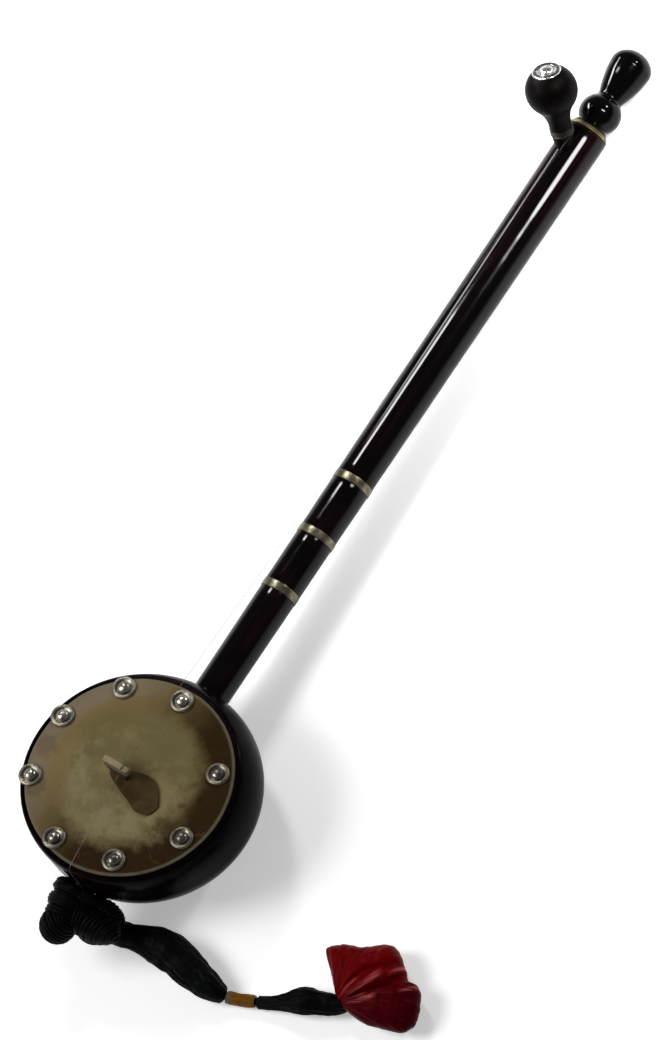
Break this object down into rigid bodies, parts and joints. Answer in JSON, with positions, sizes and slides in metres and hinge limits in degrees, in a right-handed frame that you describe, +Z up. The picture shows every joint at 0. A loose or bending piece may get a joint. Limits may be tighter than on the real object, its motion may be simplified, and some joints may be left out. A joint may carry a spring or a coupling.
{
  "type": "tumbi",
  "caption": "Single-string plucked folk instrument: hide-faced wooden bowl on a long round neck, with a ball-headed tuning peg, turned finial, metal bands and a silk tassel.",
  "frame": {"origin": "on the flat of the bowl's back that the instrument rests on, straight below the middle of the skin's rim", "axes": "+Y along the neck towards the head, seen from above; +Z up, out of the skin; +X to the right, the side that the tassel lies on"},
  "size_m": [0.3108, 0.7123, 0.0929],
  "materials": {
    "lacquered_wood": "dark maroon-black gloss lacquer",
    "black_wood": "black gloss lacquer",
    "hide": "scraped goat hide, mottled tan",
    "tack_chrome": "polished plating",
    "band_metal": "polished white metal with a pale gold cast",
    "bridge_wood": "plain dark brown wood",
    "saddle_bone": "pale bone, satin",
    "pad_leather": "worn brown leather",
    "string_steel": "plain steel wire",
    "black_silk": "black floss silk with a faint green sheen",
    "gold_thread": "gold thread",
    "red_silk": "red floss silk, glossy in its folds"
  },
  "bodies": {
    "instrument": {"bowl": "lacquered_wood", "skin": "hide", "tack_1": "tack_chrome", "tack_2": "tack_chrome", "tack_3": "tack_chrome", "tack_4": "tack_chrome", "tack_5": "tack_chrome", "tack_6": "tack_chrome", "tack_7": "tack_chrome", "tack_8": "tack_chrome", "neck": "lacquered_wood", "band_low": "band_metal", "band_middle": "band_metal", "band_high": "band_metal", "collar": "band_metal", "finial": "black_wood", "bridge": "bridge_wood", "bridge_saddle": "saddle_bone", "bridge_pad": "pad_leather", "string": "string_steel", "tail_knot": "black_silk", "tassel_cord": "black_silk", "tassel_sleeve_upper": "black_silk", "tassel_wrap": "gold_thread", "tassel_sleeve_lower": "black_silk", "tassel_tuft": "red_silk"},
    "peg": {"peg": "black_wood", "peg_stud": "tack_chrome", "string_winding": "string_steel"}
  },
  "joints": [
    {"name": "peg_turn", "type": "hinge", "parent": "instrument", "child": "peg", "pos_m": [0, 0.5154, 0.01768], "axis": [-0.2869, 0.4346, 0.8537], "continuous": true}
  ]
}
